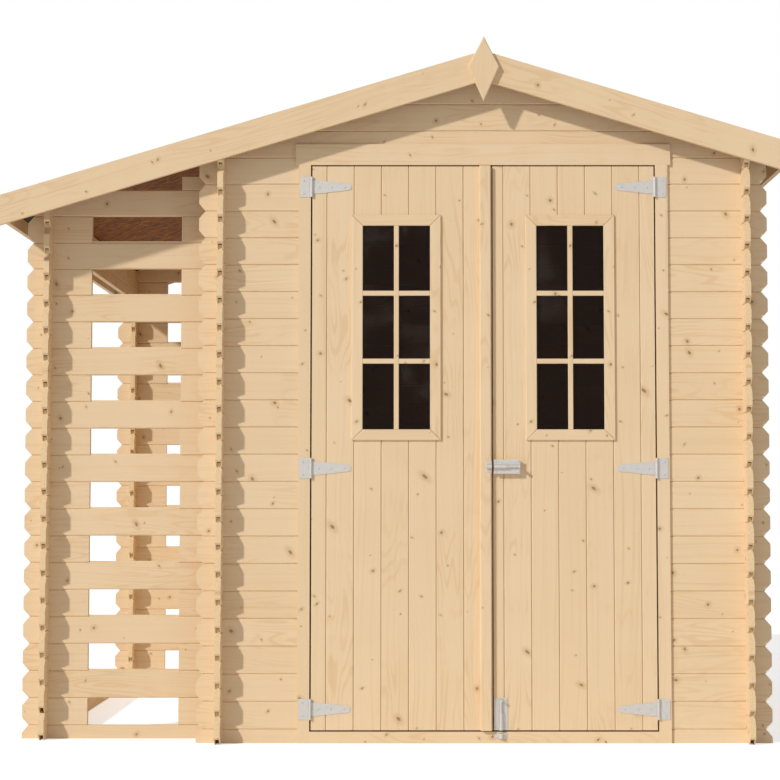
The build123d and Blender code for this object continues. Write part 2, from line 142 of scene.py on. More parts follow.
class ShedSizes(bpy.types.PropertyGroup):
    course: length("Course", "Height that one wall board covers", 0.088)
    eased_edge: length("Eased edge", "Chamfer along the long edges of a wall board", 0.0028)
    end_cut_depth: length("End cut depth", "How far a board's end is cut back", 0.021)
    end_cut_height: length("End cut height", "How high the cut at a board's corner is", 0.024)
    block_end: length("Block", "Length of the log store's short blocks from its corner", 0.148)
    shed_block: length("Block by the shed", "Length of the store's blocks by the shed", 0.135)
    tongue: length("Tongue", "Height of the tongue on a front, rear or door board", 0.006)
    side_tongue: length("Side tongue", "Height of the tongue on top of a side board", 0.0165)
    tongue_thick: length("Tongue thickness", "Thickness of a tongue", 0.012)
    groove: length("Groove", "Width of the groove under a board", 0.0132)
    groove_play: length("Groove play", "How much deeper a groove is than the tongue in it", 0.0015)
    joint_gap: length("Joint gap", "Open gap between two boards", 0.0009)
    door_board: length("Door board", "Width that one board of a door leaf covers", 0.0886)
    door_edge: length("Door board edge", "Chamfer along the edges of a door board", 0.0022)
    door_tongue_thick: length("Door tongue", "Thickness of the tongue on a door board", 0.006)
    door_play: length("Door play", "Play on each side of a door board's tongue", 0.0003)
    right_first_board: length("First right board", "Width of the board at its meeting edge", 0.0347)
    lath_width: length("Lath width", "Width of the lath in the gap between the leaves", 0.0045)
    lath_thick: length("Lath thickness", "Thickness of the lath between the leaves", 0.008)
    window_trim: length("Window trim", "Width of the boards round a window", 0.035)
    window_bar: length("Window bar", "Width of the bars in a window", 0.016)
    bar_depth: length("Bar depth", "How far the bars stand in front of the glass", 0.009)
    screw_radius: length("Screw radius", "Radius of a screw's head", 0.0036)
    screw_height: length("Screw height", "How far a screw's head stands proud", 0.0016)
    felt_lap: length("Felt lap", "Width of a strip of roofing felt", 0.9)
    ridge_strip: length("Ridge strip", "Width of the ridge's felt strip on one slope", 0.24)
    strip_thick: length("Strip thickness", "Thickness of the ridge's felt strip", 0.003)
    nail_radius: length("Nail radius", "Radius of a clout nail's head", 0.0055)
    nail_thick: length("Nail thickness", "Thickness of a clout nail's head", 0.0015)
    nail_step: length("Nail spacing", "Distance between clout nails", 0.11)


class ShedColours(bpy.types.PropertyGroup):
    timber: colour("Timber", "Planed softwood between the growth rings", "EAD0AC")
    ring: colour("Growth ring", "Darker lines of the grain", "D6AF7E")
    knot: colour("Knot", "Middle of a knot", "7B5A38")
    end_grain: colour("End grain", "Sawn ends of the boards", "EACFA6")
    strand: colour("Strand board", "Flakes of the roof boards", "B06F30")
    strand_dark: colour("Dark strand", "Gaps between the flakes", "4C2710")
    felt: colour("Felt", "Mineral roofing felt", "1D1D1E")
    zinc: colour("Zinc", "Galvanised ironwork", "CCC8C3")
    glass: colour("Glass", "Tint of the window glass", "A07C66")
    floor: colour("Floor", "Studio floor", "F5F5F5")


def sizes():
    return bpy.context.scene.shed_sizes


def colours():
    return bpy.context.scene.shed_colours


# Modelling helpers

def deselect():
    """Leaves nothing selected, so that an operator meets only what it makes."""
    for other in bpy.context.scene.objects:
        other.select_set(False)


def pick(*objects):
    """Selects these objects alone, the first one active."""
    deselect()
    for chosen in objects:
        chosen.select_set(True)
    bpy.context.view_layer.objects.active = objects[0]


def settle(piece, name):
    """Names a new piece and puts its place into its mesh."""
    pick(piece)
    bpy.ops.object.transform_apply(location=True, rotation=True, scale=True)
    piece.name = name
    piece.data.name = name
    return piece


def block(name, low, high):
    """A squared block between two corners, to be shaped further."""
    deselect()
    low = Vector(low)
    high = Vector(high)
    bpy.ops.mesh.primitive_cube_add(size=1, location=(low + high) / 2)
    piece = bpy.context.object
    piece.scale = high - low
    return settle(piece, name)


def shape(piece, kind, wanted, operator, **settings):
    """Selects the wanted edges or faces of a piece and runs one edit-mode operator on them."""
    pick(piece)
    bpy.ops.object.mode_set(mode="EDIT")
    bpy.ops.mesh.select_mode(type=kind)
    bpy.ops.mesh.select_all(action="DESELECT")
    mesh = bmesh.from_edit_mesh(piece.data)
    elements = mesh.edges if kind == "EDGE" else mesh.faces
    for element in elements:
        if wanted(element):
            element.select_set(True)
    bmesh.update_edit_mesh(piece.data)
    operator(**settings)
    bpy.ops.object.mode_set(mode="OBJECT")


def ease(piece, wanted, offset, segments=1):
    """Chamfers or rounds the wanted edges."""
    shape(
        piece, "EDGE", wanted, bpy.ops.mesh.bevel,
        offset=offset, offset_type="OFFSET", segments=segments, affect="EDGES",
    )


def runs_along(axis):
    """Test for the edges that run along an axis."""
    def wanted(edge):
        start, end = (vertex.co for vertex in edge.verts)
        return abs((end - start).normalized()[axis]) > SQUARE
    return wanted


def facing(axis, side):
    """Test for the faces that look along an axis, forwards or backwards."""
    def wanted(face):
        return face.normal[axis] * side > SQUARE
    return wanted


def at_front(level):
    """Test for the edges that lie in a front face."""
    def wanted(edge):
        return all(abs(vertex.co.y - level) < SLIP for vertex in edge.verts)
    return wanted


def draw_out(inset, shift):
    """Insets the selected faces and draws them out, or in."""
    bpy.ops.mesh.inset(thickness=inset, use_even_offset=True)
    bpy.ops.mesh.extrude_region_move(TRANSFORM_OT_translate={"value": shift})


def strip(piece, axis, side, inset, height):
    """Draws a tongue out of one side of a board, or a groove into it if the height is negative."""
    shift = Vector((0, 0, 0))
    shift[axis] = side * height
    shape(piece, "FACE", facing(axis, side), draw_out, inset=inset, shift=shift)


def saw(piece, point, normal):
    """Cuts off what lies past a plane and closes the cut."""
    shape(
        piece, "FACE", lambda face: True, bpy.ops.mesh.bisect,
        plane_co=point, plane_no=Vector(normal).normalized(), use_fill=True, clear_outer=True,
    )


def repeat(piece, count, step):
    """Lays copies of a piece in a row, in one mesh."""
    row = piece.modifiers.new("row", "ARRAY")
    row.count = count
    row.use_relative_offset = False
    row.use_constant_offset = True
    row.constant_offset_displace = step
    pick(piece)
    bpy.ops.object.modifier_apply(modifier=row.name)


def copy_of(piece, shift):
    """A copy of a piece with its own mesh, moved by a shift."""
    copied = piece.copy()
    copied.data = piece.data.copy()
    bpy.context.scene.collection.objects.link(copied)
    copied.data.transform(Matrix.Translation(shift))
    return copied


def cut_out(piece, low, high):
    """Cuts a squared hole from front to back, by sawing the piece into the four parts round it."""
    parts = []
    sides = (
        [((low[0], 0, 0), (1, 0, 0))],
        [((high[0], 0, 0), (-1, 0, 0))],
        [((low[0], 0, 0), (-1, 0, 0)), ((high[0], 0, 0), (1, 0, 0)), ((0, 0, low[2]), (0, 0, 1))],
        [((low[0], 0, 0), (-1, 0, 0)), ((high[0], 0, 0), (1, 0, 0)), ((0, 0, high[2]), (0, 0, -1))],
    )
    for cuts in sides:
        part = copy_of(piece, (0, 0, 0))
        for point, normal in cuts:
            saw(part, point, normal)
        parts.append(part)
    name = piece.name
    bpy.data.objects.remove(piece)
    return join(name, parts)


def join(name, pieces):
    """Makes one mesh of several pieces."""
    pick(*pieces)
    if len(pieces) > 1:
        bpy.ops.object.join()
    joined = bpy.context.view_layer.objects.active
    joined.name = name
    joined.data.name = name
    return joined


def dress(piece, body, slot, material, *nodes):
    """Gives a finished piece its material and its body, and hides the nodes that it stands for."""
    piece.data.materials.clear()
    piece.data.materials.append(material)
    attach(piece, body)
    if nodes:
        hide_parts(*nodes)


def coat(node, material):
    """Gives a node of the frame its material."""
    mesh = frame["nodes"][node].data
    mesh.materials.clear()
    mesh.materials.append(material)


# Material recipes

class Recipe:
    """Lays out a material's nodes and hands back their output sockets."""

    def __init__(self, name):
        self.material = bpy.data.materials.new(name)
        self.material.use_nodes = True
        self.tree = self.material.node_tree
        self.shader = self.tree.nodes["Principled BSDF"]
        self.place = self.node("ShaderNodeTexCoord").outputs["Object"]

    def feed(self, socket, value):
        """Links an output socket to an input, or sets the input to a plain value."""
        if isinstance(value, bpy.types.NodeSocket):
            self.tree.links.new(value, socket)
        else:
            socket.default_value = value

    def node(self, kind, inputs=None, **settings):
        made = self.tree.nodes.new(kind)
        for key, value in settings.items():
            setattr(made, key, value)
        for key, value in (inputs or {}).items():
            self.feed(made.inputs[key], value)
        return made

    def calc(self, operation, *values):
        made = self.node("ShaderNodeMath", operation=operation)
        for socket, value in zip(made.inputs, values):
            self.feed(socket, value)
        return made.outputs[0]

    def times(self, first, second):
        return self.calc("MULTIPLY", first, second)

    def plus(self, first, second):
        return self.calc("ADD", first, second)

    def minus(self, first, second):
        return self.calc("SUBTRACT", first, second)

    def scaled(self, value, factor, shift):
        """A value times a factor, plus a shift."""
        return self.calc("MULTIPLY_ADD", value, factor, shift)

    def join(self, x, y, z):
        return self.node("ShaderNodeCombineXYZ", {"X": x, "Y": y, "Z": z}).outputs[0]

    def split(self, vector):
        return list(self.node("ShaderNodeSeparateXYZ", {"Vector": vector}).outputs)

    def noise(self, vector, scale, detail=2.0, roughness=0.5):
        made = self.node("ShaderNodeTexNoise", {
            "Vector": vector, "Scale": scale, "Detail": detail, "Roughness": roughness,
        })
        return made.outputs[0]

    def ramp(self, value, low, high):
        """0 below the low value, 1 above the high one, and smooth between them."""
        made = self.node("ShaderNodeMapRange", {"Value": value, "From Min": low, "From Max": high})
        made.interpolation_type = "SMOOTHSTEP"
        return made.outputs[0]

    def blend(self, share, first, second):
        """The first colour, with a share of the second mixed in."""
        made = self.node("ShaderNodeMix", data_type="RGBA")
        for index, value in zip(MIX_INPUTS, (share, first, second)):
            if isinstance(value, (tuple, bpy.types.bpy_prop_array)) or hasattr(value, "r"):
                value = (*value[:3], 1.0)
            self.feed(made.inputs[index], value)
        return made.outputs[MIX_COLOUR]

    def bump(self, height, strength, distance):
        made = self.node(
            "ShaderNodeBump", {"Height": height, "Strength": strength, "Distance": distance},
        )
        self.feed(self.shader.inputs["Normal"], made.outputs[0])

    def knots(self, run, within, count, width, place, stretch, seed, chance, radii):
        """Knots along boards, at most one in each stretch of a board.

        Gives how much of a point is knot, how much lies round one, and how far rings bend there.
        """
        cell = self.calc("FLOOR", self.calc("DIVIDE", run, stretch))
        cell_place = self.join(cell, count, seed)
        spot = self.node("ShaderNodeTexWhiteNoise", {"Vector": cell_place}, noise_dimensions="3D")
        spot_run, spot_side, spot_size = self.split(spot.outputs["Color"])
        knot_run = self.times(self.plus(cell, self.scaled(spot_run, 0.7, 0.15)), stretch)
        knot_side = self.times(self.scaled(spot_side, 0.8, 0.1), width)
        off_run = self.minus(run, knot_run)
        off_side = self.minus(within, knot_side)
        slant = self.times(off_run, self.scaled(spot_size, 1.4, -0.7))
        squeeze = self.scaled(spot_run, 0.85, 0.45)
        far = self.calc("SQRT", self.plus(
            self.calc("POWER", self.times(off_run, squeeze), 2.0),
            self.calc("POWER", self.plus(off_side, slant), 2.0),
        ))
        wobble = self.noise(place, 230.0, 2.0)
        far = self.plus(far, self.scaled(wobble, 0.0050, -0.0025))
        there = self.calc("GREATER_THAN", spot.outputs["Value"], 1.0 - chance)
        radius = self.times(there, self.scaled(spot_size, radii[1] - radii[0], radii[0]))
        share = self.calc("DIVIDE", far, self.calc("MAXIMUM", radius, 0.00001))
        knot = self.minus(1.0, self.ramp(share, 0.55, 1.3))
        halo = self.times(there, self.minus(1.0, self.ramp(share, 1.0, 4.2)))
        return knot, halo, self.times(self.times(halo, off_side), -0.55)

    def finish(self, base, roughness, metallic=0.0):
        self.feed(self.shader.inputs["Base Color"], base)
        self.feed(self.shader.inputs["Roughness"], roughness)
        self.feed(self.shader.inputs["Metallic"], metallic)
        return self.material


def grain(recipe, run, side, depth, line, count, seed, luck):
    """Growth rings and how strong they are, fibres, slow patches, and a flat-sawn figure."""
    ring_place = recipe.join(
        recipe.times(run, 0.8), recipe.times(line, 95.0), recipe.times(depth, 40.0),
    )
    rings = recipe.ramp(recipe.noise(ring_place, 1.0, 4.0, 0.6), 0.46, 0.78)
    streak_place = recipe.join(recipe.times(run, 1.3), count, seed + 9.0)
    streaked = recipe.ramp(recipe.noise(streak_place, 1.0), 0.42, 0.7)
    strength = recipe.scaled(streaked, 0.36, 0.24)
    fibre_place = recipe.join(
        recipe.times(run, 16.0), recipe.times(side, 1100.0), recipe.times(depth, 1100.0),
    )
    fibre = recipe.noise(fibre_place, 1.0, 2.0)
    patch = recipe.noise(recipe.join(recipe.times(run, 2.1), side, depth), 2.6, 3.0)

    # The figure is contour lines of a slow field, on about half of the boards
    field_place = recipe.join(
        recipe.times(run, 1.5), recipe.times(line, 11.0), recipe.plus(count, seed),
    )
    field = recipe.noise(field_place, 1.0, 1.5)
    contour = recipe.calc("SINE", recipe.times(field, 105.0))
    figured = recipe.times(recipe.ramp(luck[2], 0.35, 0.75), recipe.ramp(patch, 0.40, 0.62))
    figure = recipe.times(recipe.ramp(contour, 0.1, 1.0), figured)
    return rings, strength, fibre, patch, figure


def timber(name, along, across, joint, width, tilt=0.0, seed=0.0, knots=0.6):
    """Planed softwood whose grain runs along one axis, new on each board of the given width."""
    tone = colours()
    recipe = Recipe(name)
    place = recipe.place
    if tilt:
        turned = recipe.node("ShaderNodeMapping", {"Vector": place, "Rotation": (0, tilt, 0)})
        place = turned.outputs[0]
    axes = recipe.split(place)
    run, side, depth = axes[along], axes[across], axes[3 - along - across]

    # Each board has its own number, which shifts its grain and tints it
    count = recipe.calc("FLOOR", recipe.calc("DIVIDE", recipe.minus(side, joint), width))
    within = recipe.minus(side, recipe.scaled(count, width, joint))
    number = recipe.plus(count, seed + 0.31)
    chance = recipe.node("ShaderNodeTexWhiteNoise", {"W": number}, noise_dimensions="1D")
    luck = recipe.split(chance.outputs["Color"])
    run = recipe.plus(run, recipe.times(luck[0], 9.0))

    # A few large knots and more small ones
    spot = (run, within, count, width, place)
    large = recipe.knots(*spot, 0.36, seed + 0.7, knots, (0.0026, 0.0064))
    small = recipe.knots(*spot, 0.19, seed + 5.3, knots * 0.8, (0.0011, 0.0030))
    knot = recipe.calc("MAXIMUM", large[0], small[0])
    halo = recipe.calc("MAXIMUM", large[1], small[1])
    bend = recipe.plus(large[2], small[2])

    # Growth rings bend round the knots and wander slowly along the board
    wander = recipe.noise(recipe.join(recipe.times(run, 0.9), count, seed), 1.0, 2.0)
    line = recipe.plus(recipe.plus(side, bend), recipe.times(wander, 0.10))
    rings, strength, fibre, patch, figure = grain(
        recipe, run, side, depth, line, count, seed, luck,
    )
    base = recipe.blend(recipe.times(rings, strength), tone.timber, tone.ring)
    dull = recipe.plus(recipe.times(luck[1], 0.16), recipe.scaled(patch, 0.34, -0.14))
    base = recipe.blend(dull, base, shade("D9B687"))
    base = recipe.blend(recipe.times(figure, 0.36), base, tone.ring)
    base = recipe.blend(recipe.times(recipe.ramp(fibre, 0.52, 0.8), 0.16), base, tone.ring)

    # Sawn ends show the rings end on, and no knots
    to_end = recipe.split(recipe.node("ShaderNodeTexCoord").outputs["Normal"])[along]
    end = recipe.ramp(recipe.calc("ABSOLUTE", to_end), 0.55, 0.7)
    end_rings = recipe.noise(recipe.join(side, recipe.times(depth, 2.0), count), 130.0, 2.0)
    end_share = recipe.times(recipe.ramp(end_rings, 0.42, 0.66), 0.5)
    sawn = recipe.blend(end_share, tone.end_grain, shade("D8B789"))
    base = recipe.blend(end, base, sawn)

    base = recipe.blend(recipe.times(halo, 0.34), base, shade("B9935F"))
    ring_round = recipe.noise(recipe.place, 420.0, 1.0)
    heart = recipe.blend(recipe.ramp(ring_round, 0.35, 0.62), tone.knot, shade("A07C50"))
    core = recipe.times(knot, recipe.minus(1.0, end))
    base = recipe.blend(recipe.times(core, 0.85), base, heart)

    height = recipe.plus(recipe.times(rings, 0.5), recipe.times(fibre, 0.5))
    recipe.bump(height, 0.22, 0.0005)
    recipe.feed(recipe.shader.inputs["Specular IOR Level"], 0.3)
    return recipe.finish(base, recipe.scaled(rings, -0.08, 0.66))


def strand_board(name):
    """Roof board of pressed flakes that lie in all directions."""
    tone = colours()
    recipe = Recipe(name)
    base = (*shade("7E4E25"), 1.0)
    height = 0.0
    for turn, scale in ((0.3, 96.0), (1.3, 74.0), (2.4, 120.0)):
        turned = recipe.node("ShaderNodeMapping", {
            "Vector": recipe.place, "Rotation": (0, 0, turn), "Scale": (0.42, 1, 0),
        })
        flake = recipe.node("ShaderNodeTexVoronoi", {"Vector": turned.outputs[0], "Scale": scale})
        tint = recipe.split(flake.outputs["Color"])
        flakes = recipe.blend(tint[0], tone.strand_dark, tone.strand)
        base = recipe.blend(recipe.calc("GREATER_THAN", tint[1], 0.45), base, flakes)
        height = recipe.plus(height, recipe.times(tint[2], 0.33))
    grain = recipe.noise(recipe.place, 240.0, 3.0)
    base = recipe.blend(recipe.times(grain, 0.25), base, tone.strand_dark)
    recipe.bump(height, 0.5, 0.0015)
    return recipe.finish(base, 0.78)


def roofing_felt(name):
    """Mineral felt, with a step where each strip laps over the next."""
    tone = colours()
    recipe = Recipe(name)
    grains = recipe.noise(recipe.place, 520.0, 2.0)
    waves = recipe.noise(recipe.place, 3.0, 3.0)
    run = recipe.split(recipe.place)[0]
    past_lap = recipe.calc("FRACT", recipe.calc("DIVIDE", run, sizes().felt_lap))
    lap = recipe.ramp(past_lap, 0.0, 0.012)
    base = recipe.blend(recipe.ramp(grains, 0.42, 0.70), tone.felt, shade("56565A"))
    base = recipe.blend(recipe.ramp(waves, 0.35, 0.75), base, shade("2F2F30"))
    height = recipe.plus(recipe.times(grains, 0.25), recipe.plus(lap, waves))
    recipe.bump(height, 0.6, 0.002)
    return recipe.finish(base, 0.88)


def zinc(name):
    """Dull zinc with faint spangles."""
    tone = colours()
    recipe = Recipe(name)
    spangle = recipe.node("ShaderNodeTexVoronoi", {"Vector": recipe.place, "Scale": 260.0})
    tint = recipe.split(spangle.outputs["Color"])[0]
    rub = recipe.noise(recipe.place, 70.0, 3.0)
    base = recipe.blend(recipe.times(tint, 0.22), tone.zinc, shade("A9ABAC"))
    base = recipe.blend(recipe.times(recipe.ramp(rub, 0.62, 0.8), 0.4), base, shade("96928C"))
    recipe.bump(rub, 0.08, 0.0003)
    return recipe.finish(base, recipe.scaled(rub, 0.25, 0.38), 0.4)


def window_glass(name):
    """Thin tinted glass with a little dust on it, whose pale blotches also paint faint reflections.
    """
    tone = colours()
    recipe = Recipe(name)
    # Pale blotches of dust, which also paint faint reflections, and a thin even film make part of
    # the glass diffuse
    dust_and_reflection = recipe.ramp(recipe.noise(recipe.place, 5.0, 7.0, 0.64), 0.52, 0.66)
    fine = recipe.noise(recipe.place, 60.0, 3.0)
    dust_and_reflection_film = recipe.scaled(dust_and_reflection, recipe.times(fine, 0.11), 0.013)
    recipe.feed(recipe.shader.inputs["IOR"], 1.16)
    recipe.feed(recipe.shader.inputs["Transmission Weight"], recipe.minus(1.0, dust_and_reflection_film))
    # Where the blotches lie, the glass takes the dust's pale colour, which also paints the
    # reflections
    base = recipe.blend(dust_and_reflection, tone.glass, shade("8E827A"))
    return recipe.finish(base, 0.02)


def seen_rays(tree):
    """Socket that is 1 for what the camera sees, straight on or in glass and metal."""
    def highest(first, second):
        made = tree.nodes.new("ShaderNodeMath")
        made.operation = "MAXIMUM"
        tree.links.new(first, made.inputs[0])
        tree.links.new(second, made.inputs[1])
        return made.outputs[0]

    rays = tree.nodes.new("ShaderNodeLightPath").outputs
    mirrored = highest(rays["Is Glossy Ray"], rays["Is Transmission Ray"])
    return highest(rays["Is Camera Ray"], mirrored)


# Timber that keeps its node's shape: node, material, run of the grain, side across it, where the
# first board begins, width of a board, seed and share of knots
TIMBERS = (
    ("ridge_beam", "ridge_beam_timber", ALONG_Y, ALONG_Z, 0.0, 0.4, 51.0, 0.6),
    ("purlins", "purlin_timber", ALONG_Y, ALONG_X, -0.30, 0.43, 52.0, 0.6),
    ("eaves_trims", "eaves_timber", ALONG_Y, ALONG_Z, 0.0, 0.2, 53.0, 0.6),
    ("front_finial", "front_finial_timber", ALONG_Z, ALONG_X, 0.24, 0.1, 64.0, 0.0),
    ("rear_finial", "rear_finial_timber", ALONG_Z, ALONG_X, 0.24, 0.1, 64.0, 0.0),
    ("door_jambs", "jamb_timber", ALONG_Z, ALONG_X, -0.31, 0.04, 71.0, 0.35),
    ("door_head", "head_timber", ALONG_X, ALONG_Z, 1.866, 0.068, 72.0, 0.35),
    ("door_threshold", "threshold_timber", ALONG_X, ALONG_Z, 0.0, 0.037, 73.0, 0.6),
    ("cover_strip", "strip_timber", ALONG_Z, ALONG_X, 0.278, 0.037, 74.0, 0.3),
    ("pad_bolt_packer", "packer_timber", ALONG_X, ALONG_Z, 0.86, 0.046, 75.0, 0.6),
    ("left_leaf_ledges", "ledge_timber", ALONG_X, ALONG_Z, 0.0, 0.3, 76.0, 0.6),
)


# Wall boards

def roof_planes(piece):
    """Saws a piece off under both slopes of the roof."""
    for lean in (-1, 1):
        saw(piece, RIDGE, (lean * SLOPE, 0, 1))


def board(name, along, span, faces, low, pointed):
    """One wall board: eased edges, a groove below, blunt points at its ends, a tongue on top."""
    size = sizes()
    high = low + size.course
    tongue = size.tongue if along == ALONG_X else size.side_tongue

    def corner(run, face, level):
        return (run, face, level) if along == ALONG_X else (face, run, level)

    top = high - size.joint_gap
    piece = block(name, corner(span[0], faces[0], low), corner(span[1], faces[1], top))
    ease(piece, runs_along(along), size.eased_edge)
    flat = faces[1] - faces[0] - 2 * size.eased_edge
    strip(piece, ALONG_Z, -1, (flat - size.groove) / 2, -tongue - size.groove_play)
    for index, outward in ((0, -1), (1, 1)):
        if not pointed[index]:
            continue
        for level, lean in ((low + size.end_cut_height, -1), (high - size.end_cut_height, 1)):
            point = Vector((0, 0, level))
            point[along] = span[index]
            normal = Vector((0, 0, lean * size.end_cut_depth))
            normal[along] = outward * size.end_cut_height
            saw(piece, point, normal)
    strip(piece, ALONG_Z, 1, (flat - size.tongue_thick) / 2, tongue)
    return piece


def stack(name, along, span, faces, low, high, joint, pointed=(False, False), every=1):
    """Boards laid on each other between two levels."""
    course = sizes().course
    first = joint + math.floor((low - joint) / course + ROUNDING) * course
    count = math.ceil((high - first) / (every * course) - ROUNDING)
    piece = board(name, along, span, faces, first, pointed)
    repeat(piece, count, (0, 0, every * course))
    if first < low - SLIP:
        saw(piece, (0, 0, low), (0, 0, -1))
    last = first + ((count - 1) * every + 1) * course
    if last > high - SLIP:
        saw(piece, (0, 0, high), (0, 0, 1))
    return piece


def middle_levels(node):
    """Middle heights of a node's separate pieces, one above the other."""
    heights = sorted(vertex.co.z for vertex in frame["nodes"][node].data.vertices)
    groups = [[heights[0]]]
    for height in heights[1:]:
        if height - groups[-1][-1] > PIECE_GAP:
            groups.append([])
        groups[-1].append(height)
    return [(group[0] + group[-1]) / 2 for group in groups]


RIDGE = Vector((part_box("roof_deck_left")[1].x, 0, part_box("rear_wall")[1].z))
SLOPE = (RIDGE.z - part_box("left_wall")[1].z) / (RIDGE.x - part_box("left_wall")[0].x)


def side_wall(node, name, material):
    """Dresses a node with boards that run from front to rear, pointed at both ends."""
    low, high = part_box(node)
    piece = stack(
        name, ALONG_Y, (low.y, high.y), (low.x, high.x), low.z, high.z, 0, (True, True),
    )
    dress(piece, "shed", "board timber", material, node)


class SHED_OT_shed_walls(bpy.types.Operator):
    """Boards of the shed's four walls, laid half a course apart at the corners"""

    bl_idname = "shed.shed_walls"
    bl_label = "Shed walls"

    def execute(self, context):
        half = sizes().course / 2
        material = timber("shed_front_boards", ALONG_X, ALONG_Z, half, sizes().course, seed=3.0)
        for node, pointed in (
            ("front_wall_left", (True, False)),
            ("front_wall_right", (False, True)),
            ("front_gable", (False, False)),
            ("rear_wall", (True, True)),
        ):
            low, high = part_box(node)
            piece = stack(
                node + "_boards", ALONG_X, (low.x, high.x), (low.y, high.y),
                low.z, RIDGE.z, half, pointed,
            )
            roof_planes(piece)
            dress(piece, "shed", "board timber", material, node)
        material = timber("shed_side_boards", ALONG_Y, ALONG_Z, 0.0, sizes().course, seed=11.0)
        for node in ("left_wall", "right_wall"):
            side_wall(node, node + "_boards", material)
        return {"FINISHED"}


class SHED_OT_store_walls(bpy.types.Operator):
    """Boards and blocks of the log store, with open slots between the blocks"""

    bl_idname = "shed.store_walls"
    bl_label = "Log store walls"

    def execute(self, context):
        size = sizes()
        course = size.course
        half = course / 2
        material = timber("store_cross_boards", ALONG_X, ALONG_Z, half, course, seed=23.0)
        for side in ("front", "rear"):
            node = f"store_{side}_boards"
            low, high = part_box(node)
            faces = (low.y, high.y)
            span = (low.x, high.x)
            foot = stack(node + "_foot", ALONG_X, span, faces, 0, half, half, (True, False))
            boards = stack(
                node + "_rows", ALONG_X, span, faces,
                half + course, high.z, half, (True, False), every=2,
            )
            boards = join(node + "_dressed", [foot, boards])
            roof_planes(boards)
            dress(boards, "shed", "board timber", material, node)
            node = f"store_{side}_blocks"
            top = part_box(node)[1].z
            store_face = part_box("store_top_beam")[0].x
            left_blocks = stack(
                node + "_left", ALONG_X, (low.x, store_face + size.block_end), faces,
                half, high.z - course, half, (True, False), every=2,
            )
            by_shed = (high.x - size.shed_block, high.x)
            right_blocks = stack(
                node + "_right", ALONG_X, by_shed, faces, half, high.z + half, half, every=2,
            )
            wedge_low = half + WEDGE_COURSE * course
            wedge = stack(node + "_wedge", ALONG_X, by_shed, faces, wedge_low, top, half)
            blocks = join(node + "_dressed", [left_blocks, right_blocks, wedge])
            roof_planes(blocks)
            dress(blocks, "shed", "board timber", material, node)

        material = timber("store_side_boards", ALONG_Y, ALONG_Z, 0.0, course, seed=37.0)
        for node in (
            "store_front_corner_boards", "store_rear_corner_boards",
            "store_low_rail", "store_top_beam",
        ):
            side_wall(node, node + "_dressed", material)
        return {"FINISHED"}


class SHED_OT_door_boards(bpy.types.Operator):
    """Upright boards of the two door leaves, with the window openings cut out"""

    bl_idname = "shed.door_boards"
    bl_label = "Door boards"

    def execute(self, context):
        size = sizes()
        wide = size.door_board
        left_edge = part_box("left_leaf_boards")[1].x
        right_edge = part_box("right_leaf_boards")[0].x + size.right_first_board
        for side, joint, seed in (("left", left_edge, 5.0), ("right", right_edge, 8.0)):
            node = f"{side}_leaf_boards"
            low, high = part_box(node)
            first = joint - math.ceil((joint - low.x) / wide) * wide
            count = math.ceil((high.x - first) / wide - ROUNDING)
            edge = first + wide - size.joint_gap
            piece = block(node + "_dressed", (first, low.y, low.z), (edge, high.y, high.z))
            ease(piece, runs_along(ALONG_Z), size.door_edge)
            shoulder = (high.y - low.y - 2 * size.door_edge - size.door_tongue_thick) / 2
            groove_deep = size.tongue + size.groove_play
            strip(piece, ALONG_X, -1, shoulder - size.door_play, -groove_deep)
            strip(piece, ALONG_X, 1, shoulder, size.tongue)
            repeat(piece, count, (wide, 0, 0))
            saw(piece, (low.x, 0, 0), (-1, 0, 0))
            saw(piece, (high.x, 0, 0), (1, 0, 0))
            glass_low, glass_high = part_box(f"{side}_window_glass")
            play = Vector((WINDOW_PLAY, 0, WINDOW_PLAY))
            piece = cut_out(piece, glass_low - play, glass_high + play)
            material = timber(f"{side}_door_timber", ALONG_Z, ALONG_X, joint, wide, seed=seed)
            dress(piece, f"{side}_leaf", "board timber", material, node)

        # A thin lath on the left leaf's edge keeps the gap between the leaves closed to the eye
        low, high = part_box("left_leaf_boards")
        lath = block(
            "meeting_edge_lath", (high.x, high.y - size.lath_thick, low.z),
            (high.x + size.lath_width, high.y, high.z),
        )
        ease(lath, runs_along(ALONG_Z), size.lath_width / 5)
        material = timber("lath_timber", ALONG_Z, ALONG_X, high.x, 0.02, seed=9.0)
        dress(lath, "left_leaf", "trim timber", material)
        return {"FINISHED"}


